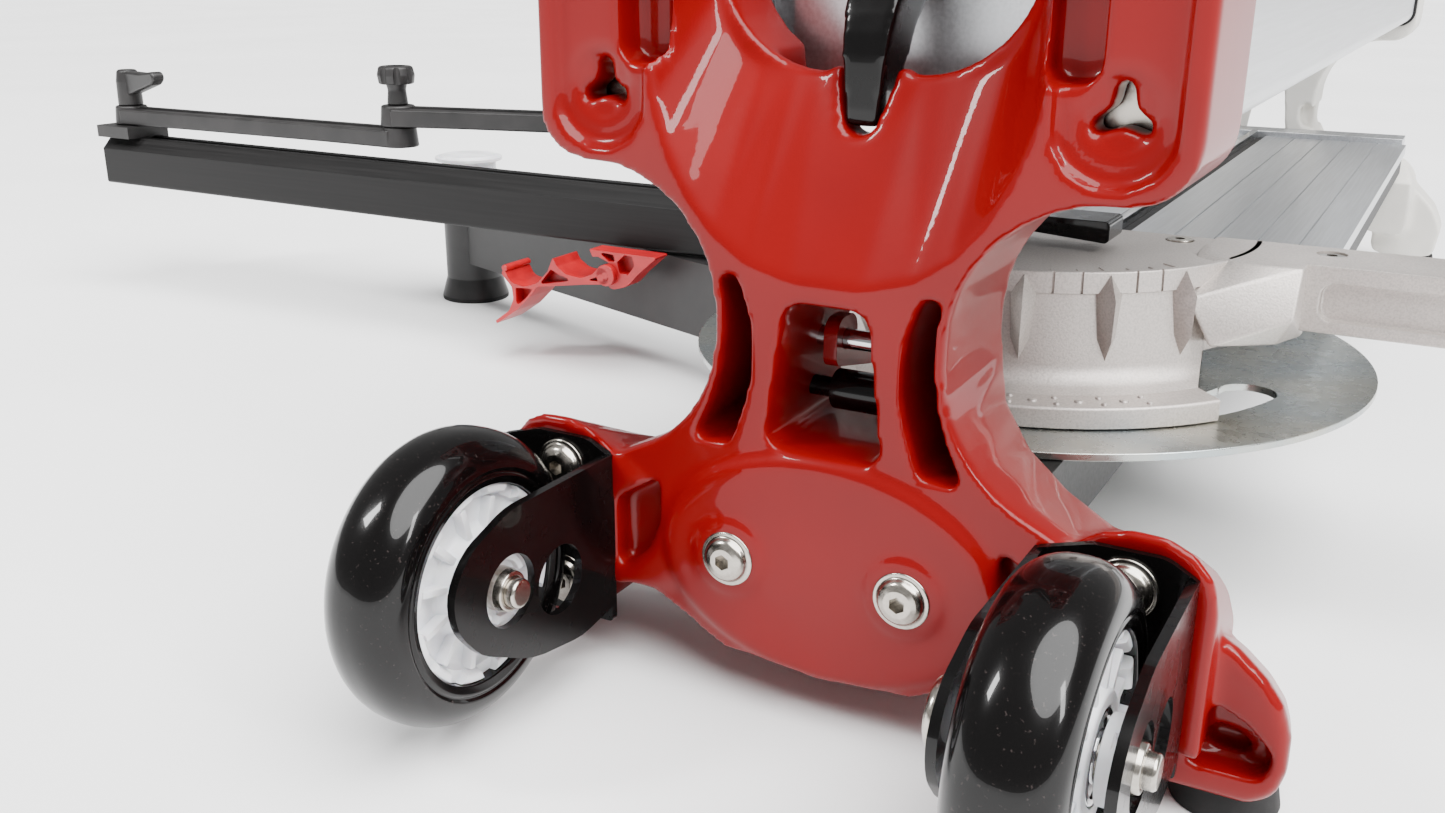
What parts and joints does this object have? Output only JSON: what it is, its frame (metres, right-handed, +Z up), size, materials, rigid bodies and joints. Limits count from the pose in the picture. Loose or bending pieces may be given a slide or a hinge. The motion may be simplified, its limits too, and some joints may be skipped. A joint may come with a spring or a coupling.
{
  "type": "tile cutter",
  "caption": "Manual tile cutter with twin guides, swivelling protractor fence, lateral support arm with adjustable stop, and a wheeled cast end support.",
  "frame": {"origin": "top of the breaking strip, on the cutting line, midway between the outer faces of the end supports", "axes": "+X across the cutter towards the protractor's fence, +Y along the cutting line from the wheeled support to the rear support, +Z up"},
  "size_m": [1.028, 1.051, 0.5761],
  "materials": {
    "red_enamel": "gloss",
    "grey_enamel": "gloss",
    "black_enamel": "satin",
    "anodised_aluminium": "satin",
    "cast_aluminium": "matte",
    "black_aluminium": "satin",
    "zinc_steel": "satin",
    "stainless": "satin",
    "chrome_steel": "polished",
    "hard_metal": "polished",
    "rubber": "matte",
    "tyre": "gloss",
    "white_plastic": "satin",
    "black_plastic": "satin",
    "red_plastic": "satin",
    "spring_steel": "satin"
  },
  "bodies": {
    "frame": {"front_support": "red_enamel", "rear_support": "grey_enamel", "support_feet": "rubber", "guide_left": "anodised_aluminium", "guide_right": "anodised_aluminium", "guide_plugs": "stainless", "guide_gaskets": "rubber", "base_body": "black_aluminium", "breaking_strip": "chrome_steel", "end_ruler": "anodised_aluminium", "flanged_screws": "stainless", "swivel_plate": "zinc_steel", "protractor_pin": "stainless", "wheel_bracket_right": "black_enamel", "wheel_bracket_left": "black_enamel", "axle_bolts": "stainless", "axle_nuts": "stainless", "axle_spacers": "stainless", "latch_pin": "chrome_steel", "latch_sleeve": "black_enamel", "rail": "black_aluminium", "rail_bracket": "black_enamel", "beam_pin": "stainless", "clip_lug": "black_enamel"},
    "table_left": {"table_left": "anodised_aluminium", "table_springs_left": "spring_steel"},
    "table_right": {"table_right": "anodised_aluminium", "table_springs_right": "spring_steel"},
    "wheel_left": {"tyre_left": "tyre", "hub_left": "white_plastic", "wheel_bearings_left": "chrome_steel"},
    "wheel_right": {"tyre_right": "tyre", "hub_right": "white_plastic", "wheel_bearings_right": "chrome_steel"},
    "protractor": {"protractor": "cast_aluminium", "protractor_screws": "stainless"},
    "swing_beam": {"swing_beam": "black_plastic", "post_foot": "rubber", "post_cap": "white_plastic"},
    "slider": {"clamp_slider": "black_plastic"},
    "clamp_lever": {"clamp_lever": "black_plastic"},
    "stop_link": {"stop_link": "black_plastic"},
    "stop_finger": {"stop_finger": "black_plastic"},
    "star_knob": {"star_knob": "black_plastic"},
    "clip": {"clip": "red_plastic"},
    "carriage": {"carriage_body": "black_enamel", "roller_pins": "stainless", "lever_pin": "stainless", "breaker_pin": "stainless"},
    "roller_front_right": {"roller_front_right": "chrome_steel"},
    "roller_front_left": {"roller_front_left": "chrome_steel"},
    "roller_rear_right": {"roller_rear_right": "chrome_steel"},
    "roller_rear_left": {"roller_rear_left": "chrome_steel"},
    "lever": {"lever": "black_enamel", "lever_grip": "rubber"},
    "plunger": {"plunger": "stainless", "scoring_pin": "stainless"},
    "scoring_wheel": {"scoring_wheel": "hard_metal"},
    "breaker_foot": {"breaker_foot": "black_enamel"},
    "latch_hook": {"latch_hook": "red_enamel"}
  },
  "joints": [
    {"name": "table_left_press", "type": "slide", "parent": "frame", "child": "table_left", "axis": [0, 0, -1], "range_m": [0, 0.004], "stiffness_N_per_m": 9000, "springref_m": -0.004, "deforming": ["table_springs_left"]},
    {"name": "table_right_press", "type": "slide", "parent": "frame", "child": "table_right", "axis": [0, 0, -1], "range_m": [0, 0.004], "stiffness_N_per_m": 9000, "springref_m": -0.004, "deforming": ["table_springs_right"]},
    {"name": "wheel_left_spin", "type": "hinge", "parent": "frame", "child": "wheel_left", "pos_m": [-0.104, -0.528, -0.0567], "axis": [1, 0, 0], "continuous": true},
    {"name": "wheel_right_spin", "type": "hinge", "parent": "frame", "child": "wheel_right", "pos_m": [0.096, -0.528, -0.0567], "axis": [1, 0, 0], "continuous": true},
    {"name": "protractor_swivel", "type": "hinge", "parent": "frame", "child": "protractor", "pos_m": [0, -0.253, -0.0037], "axis": [0, 0, 1], "range_deg": [-45, 45]},
    {"name": "beam_swing", "type": "hinge", "parent": "frame", "child": "swing_beam", "pos_m": [-0.128, -0.175, -0.0637], "axis": [0, 0, 1], "range_deg": [-65, 0]},
    {"name": "slider_slide", "type": "slide", "parent": "frame", "child": "slider", "axis": [1, 0, 0], "range_m": [0, 0.55]},
    {"name": "clamp_lever_turn", "type": "hinge", "parent": "slider", "child": "clamp_lever", "pos_m": [-0.76, -0.129, 0.0363], "axis": [0, 0, 1], "range_deg": [0, 150]},
    {"name": "stop_link_swing", "type": "hinge", "parent": "slider", "child": "stop_link", "pos_m": [-0.76, -0.129, 0.0163], "axis": [0, 0, 1], "range_deg": [-60, 90]},
    {"name": "stop_finger_swing", "type": "hinge", "parent": "stop_link", "child": "stop_finger", "pos_m": [-0.49, -0.121, 0.0313], "axis": [0, 0, 1], "range_deg": [-160, 160]},
    {"name": "star_knob_turn", "type": "hinge", "parent": "stop_finger", "child": "star_knob", "pos_m": [-0.49, -0.121, 0.0463], "axis": [0, 0, 1], "range_deg": [0, 360]},
    {"name": "clip_swing", "type": "hinge", "parent": "frame", "child": "clip", "pos_m": [-0.292, -0.16, -0.0477], "axis": [0, 1, 0], "range_deg": [0, 100]},
    {"name": "carriage_slide", "type": "slide", "parent": "frame", "child": "carriage", "axis": [0, 1, 0], "range_m": [0, 0.56]},
    {"name": "lever_swing", "type": "hinge", "parent": "carriage", "child": "lever", "pos_m": [0, -0.334, 0.1503], "axis": [1, 0, 0], "range_deg": [-50, 0]},
    {"name": "plunger_press", "type": "slide", "parent": "carriage", "child": "plunger", "axis": [0, 0, -1], "range_m": [0, 0.0151]},
    {"name": "scoring_wheel_spin", "type": "hinge", "parent": "plunger", "child": "scoring_wheel", "pos_m": [0, -0.38, 0.0383], "axis": [1, 0, 0], "continuous": true},
    {"name": "breaker_foot_tilt", "type": "hinge", "parent": "carriage", "child": "breaker_foot", "pos_m": [0, -0.286, 0.0441], "axis": [0, 1, 0], "range_deg": [-4, 4]},
    {"name": "latch_hook_lift", "type": "hinge", "parent": "frame", "child": "latch_hook", "pos_m": [0, -0.434, 0.0153], "axis": [1, 0, 0], "range_deg": [0, 30]},
    {"name": "roller_front_right_roll", "type": "hinge", "parent": "carriage", "child": "roller_front_right", "pos_m": [0.053, -0.382, 0.1021], "axis": [0, 0, 1], "continuous": true},
    {"name": "roller_front_left_roll", "type": "hinge", "parent": "carriage", "child": "roller_front_left", "pos_m": [-0.053, -0.382, 0.1021], "axis": [0, 0, 1], "continuous": true},
    {"name": "roller_rear_right_roll", "type": "hinge", "parent": "carriage", "child": "roller_rear_right", "pos_m": [0.053, -0.288, 0.1021], "axis": [0, 0, 1], "continuous": true},
    {"name": "roller_rear_left_roll", "type": "hinge", "parent": "carriage", "child": "roller_rear_left", "pos_m": [-0.053, -0.288, 0.1021], "axis": [0, 0, 1], "continuous": true}
  ],
  "couplings": [
    {"joint": "plunger_press", "follows": "lever_swing", "m_per_rad": -0.017189},
    {"joint": "roller_front_right_roll", "follows": "carriage_slide", "rad_per_m": -76.923},
    {"joint": "roller_front_left_roll", "follows": "carriage_slide", "rad_per_m": 76.923},
    {"joint": "roller_rear_right_roll", "follows": "carriage_slide", "rad_per_m": -76.923},
    {"joint": "roller_rear_left_roll", "follows": "carriage_slide", "rad_per_m": 76.923}
  ]
}
